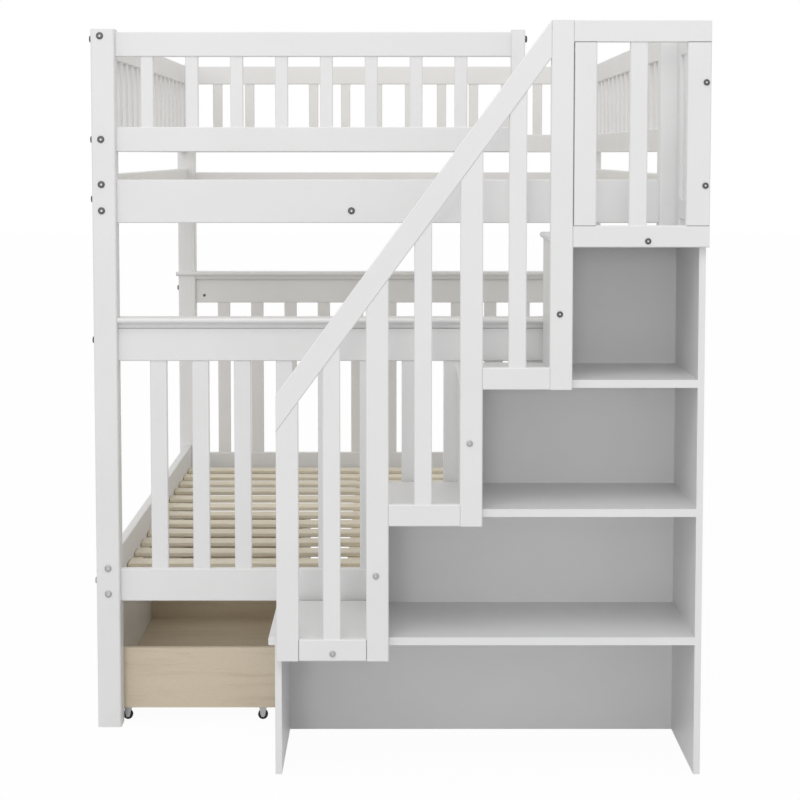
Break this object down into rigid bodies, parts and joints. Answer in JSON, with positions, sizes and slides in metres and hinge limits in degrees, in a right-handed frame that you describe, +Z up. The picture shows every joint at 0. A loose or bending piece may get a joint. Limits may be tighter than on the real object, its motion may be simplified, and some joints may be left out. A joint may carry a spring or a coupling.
{
  "type": "bunk bed with storage stairs",
  "caption": "White full-size bunk bed with slatted ends and guard rails, a stepped shelf stair with a sloping balustrade at one end, and rolling drawers under the lower bunk.",
  "frame": {"origin": "on the floor, under the centre of the whole object's bounding box", "axes": "+Z up; +Y along the bed, away from the stair end; +X across the bed, the way the stairs climb"},
  "size_m": [1.458, 2.415, 1.726],
  "materials": {
    "white_paint": "satin white lacquer",
    "pine_slats": "bare planed pine",
    "pine_rails": "bare planed pine",
    "drawer_wood": "clear matt lacquer",
    "caster_metal": "zinc plated",
    "wheel": "black plastic",
    "bolt_steel": "nickel plated"
  },
  "bodies": {
    "frame": {"bed_bolts": "bolt_steel", "centre_beams": "pine_rails", "end_rail_lower_far": "white_paint", "end_rail_lower_near": "white_paint", "end_rail_upper_far": "white_paint", "end_rail_upper_near": "white_paint", "entry_post": "white_paint", "guard_rails_far": "white_paint", "guard_rails_left": "white_paint", "guard_rails_near": "white_paint", "guard_rails_right": "white_paint", "guard_slats_far": "white_paint", "guard_slats_left": "white_paint", "guard_slats_near": "white_paint", "guard_slats_right": "white_paint", "landing_guard_front": "white_paint", "landing_guard_side": "white_paint", "mattress_slats_lower": "pine_slats", "mattress_slats_upper": "pine_slats", "panel_cap_far": "white_paint", "panel_cap_near": "white_paint", "panel_rail_far": "white_paint", "panel_rail_near": "white_paint", "panel_slats_far": "white_paint", "panel_slats_near": "white_paint", "post_far_left": "white_paint", "post_far_right": "white_paint", "post_near_left": "white_paint", "post_near_right": "white_paint", "side_rail_lower_left": "white_paint", "side_rail_lower_right": "white_paint", "side_rail_upper_left": "white_paint", "side_rail_upper_right": "white_paint", "slat_ledgers": "pine_rails", "stair_backs": "white_paint", "stair_balusters": "white_paint", "stair_bolts": "bolt_steel", "stair_handrail": "white_paint", "stair_risers": "white_paint", "stair_side_left": "white_paint", "stair_side_right": "white_paint", "stair_sills": "white_paint", "stair_stiles": "white_paint", "tread_1": "white_paint", "tread_2": "white_paint", "tread_3": "white_paint", "tread_4": "white_paint"},
    "drawer_near": {"drawer_near_box": "drawer_wood", "drawer_near_casters": "caster_metal", "drawer_near_floor": "drawer_wood", "drawer_near_front": "white_paint"},
    "wheels_near_front": {"drawer_near_front_wheels": "wheel"},
    "wheels_near_rear": {"drawer_near_rear_wheels": "wheel"},
    "drawer_far": {"drawer_far_box": "drawer_wood", "drawer_far_casters": "caster_metal", "drawer_far_floor": "drawer_wood", "drawer_far_front": "white_paint"},
    "wheels_far_front": {"drawer_far_front_wheels": "wheel"},
    "wheels_far_rear": {"drawer_far_rear_wheels": "wheel"}
  },
  "joints": [
    {"name": "drawer_near_slide", "type": "slide", "parent": "frame", "child": "drawer_near", "axis": [-1, 0, 0], "range_m": [0, 0.4]},
    {"name": "wheels_near_front_spin", "type": "hinge", "parent": "drawer_near", "child": "wheels_near_front", "pos_m": [-0.6565, -0.2715, 0.0125], "axis": [0, -1, 0], "range_deg": [-1900, 1900]},
    {"name": "wheels_near_rear_spin", "type": "hinge", "parent": "drawer_near", "child": "wheels_near_rear", "pos_m": [-0.3155, -0.2715, 0.0125], "axis": [0, -1, 0], "range_deg": [-1900, 1900]},
    {"name": "drawer_far_slide", "type": "slide", "parent": "frame", "child": "drawer_far", "axis": [-1, 0, 0], "range_m": [0, 0.4]},
    {"name": "wheels_far_front_spin", "type": "hinge", "parent": "drawer_far", "child": "wheels_far_front", "pos_m": [-0.6565, 0.6735, 0.0125], "axis": [0, -1, 0], "range_deg": [-1900, 1900]},
    {"name": "wheels_far_rear_spin", "type": "hinge", "parent": "drawer_far", "child": "wheels_far_rear", "pos_m": [-0.3155, 0.6735, 0.0125], "axis": [0, -1, 0], "range_deg": [-1900, 1900]}
  ],
  "couplings": [
    {"joint": "wheels_near_front_spin", "follows": "drawer_near_slide", "rad_per_m": 80},
    {"joint": "wheels_near_rear_spin", "follows": "drawer_near_slide", "rad_per_m": 80},
    {"joint": "wheels_far_front_spin", "follows": "drawer_far_slide", "rad_per_m": 80},
    {"joint": "wheels_far_rear_spin", "follows": "drawer_far_slide", "rad_per_m": 80}
  ]
}
